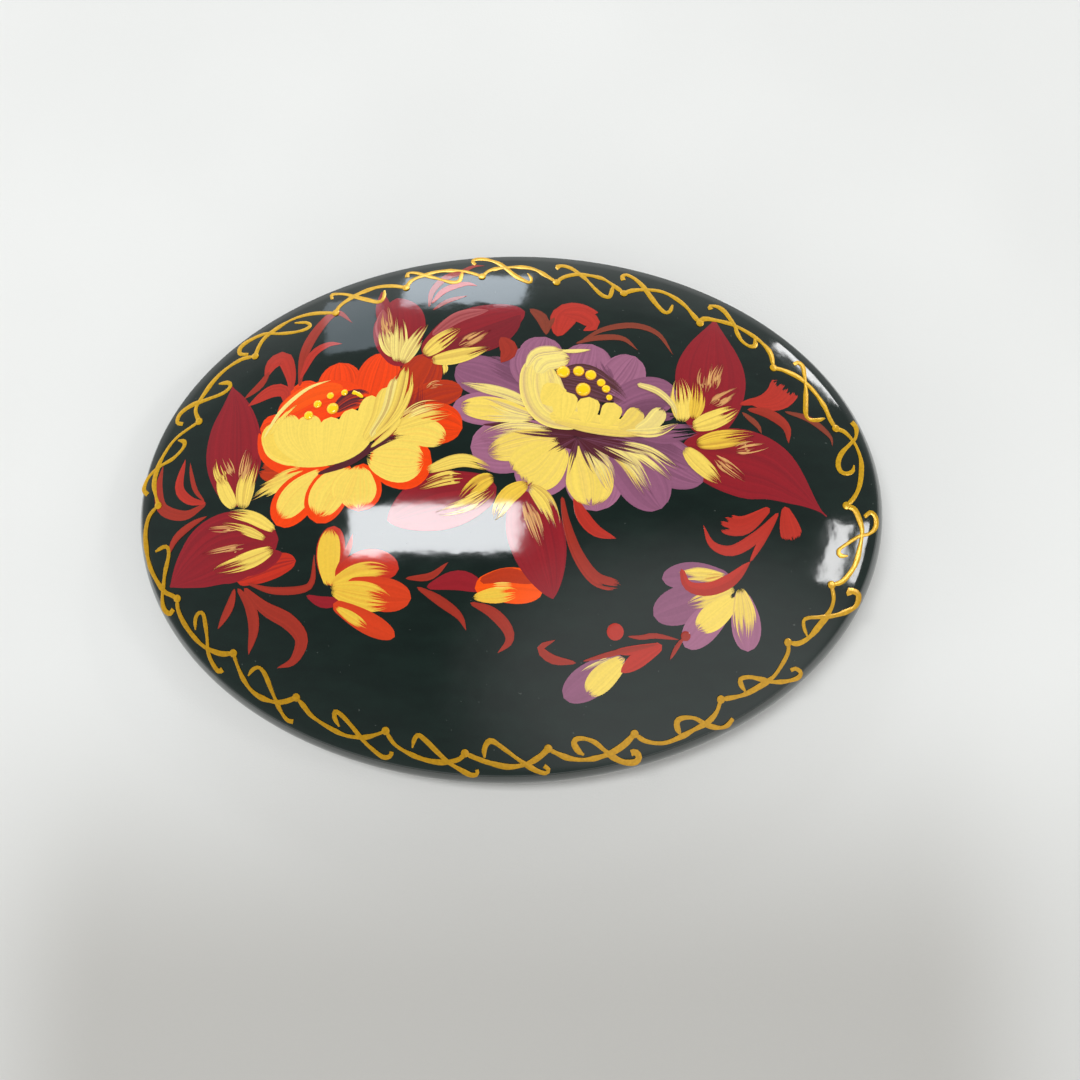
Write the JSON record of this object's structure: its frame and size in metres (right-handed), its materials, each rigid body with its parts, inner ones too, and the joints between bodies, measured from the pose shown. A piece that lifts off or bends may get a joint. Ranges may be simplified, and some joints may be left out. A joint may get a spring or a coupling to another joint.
{
  "type": "hair barrette",
  "caption": "Oval domed lacquer barrette painted with flowers, on a sprung hair clip whose hinged arm snaps over a pinch catch.",
  "frame": {"origin": "on the plane the closed clip stands on, below the middle of the plaque", "axes": "+Z out of the painted face, X along the plaque's long side with the clip's catch at +X and its hinge at -X, +Y towards the top of the painting"},
  "size_m": [0.09, 0.0652, 0.0138],
  "materials": {
    "lacquer": "black-green gloss lacquer with hand-painted flowers over a turned wooden blank",
    "nickel_plate": "nickel-plated stamped steel",
    "spring_steel": "nickel-plated spring steel, a little darker than the stampings",
    "epoxy": "cured amber epoxy glue"
  },
  "bodies": {
    "plaque_and_plate": {"plaque": "lacquer", "base_plate": "nickel_plate", "glue_bead_hinge_end": "epoxy", "glue_bead_catch_end": "epoxy", "hinge_pin": "nickel_plate", "catch_saddle": "spring_steel", "catch_rivet": "nickel_plate"},
    "arm": {"clasp_arm": "nickel_plate"},
    "leaf": {"tension_leaf": "spring_steel"},
    "prong_upper": {"catch_prong_upper": "spring_steel"},
    "prong_lower": {"catch_prong_lower": "spring_steel"}
  },
  "joints": [
    {"name": "arm_hinge", "type": "hinge", "parent": "plaque_and_plate", "child": "arm", "pos_m": [-0.0334, 0, 0.0017], "axis": [0, 1, 0], "range_deg": [0, 75]},
    {"name": "leaf_flex", "type": "slide", "parent": "plaque_and_plate", "child": "leaf", "axis": [0, 0, 1], "range_m": [0, 0.0006], "stiffness_N_per_m": 1500},
    {"name": "prong_upper_pinch", "type": "hinge", "parent": "plaque_and_plate", "child": "prong_upper", "pos_m": [0.0315, 0.00135, 0.0048], "axis": [1, 0, 0], "range_deg": [-8, 0], "stiffness_Nm_per_rad": 0.08},
    {"name": "prong_lower_pinch", "type": "hinge", "parent": "plaque_and_plate", "child": "prong_lower", "pos_m": [0.0315, -0.00135, 0.0048], "axis": [1, 0, 0], "range_deg": [0, 8], "stiffness_Nm_per_rad": 0.08}
  ]
}
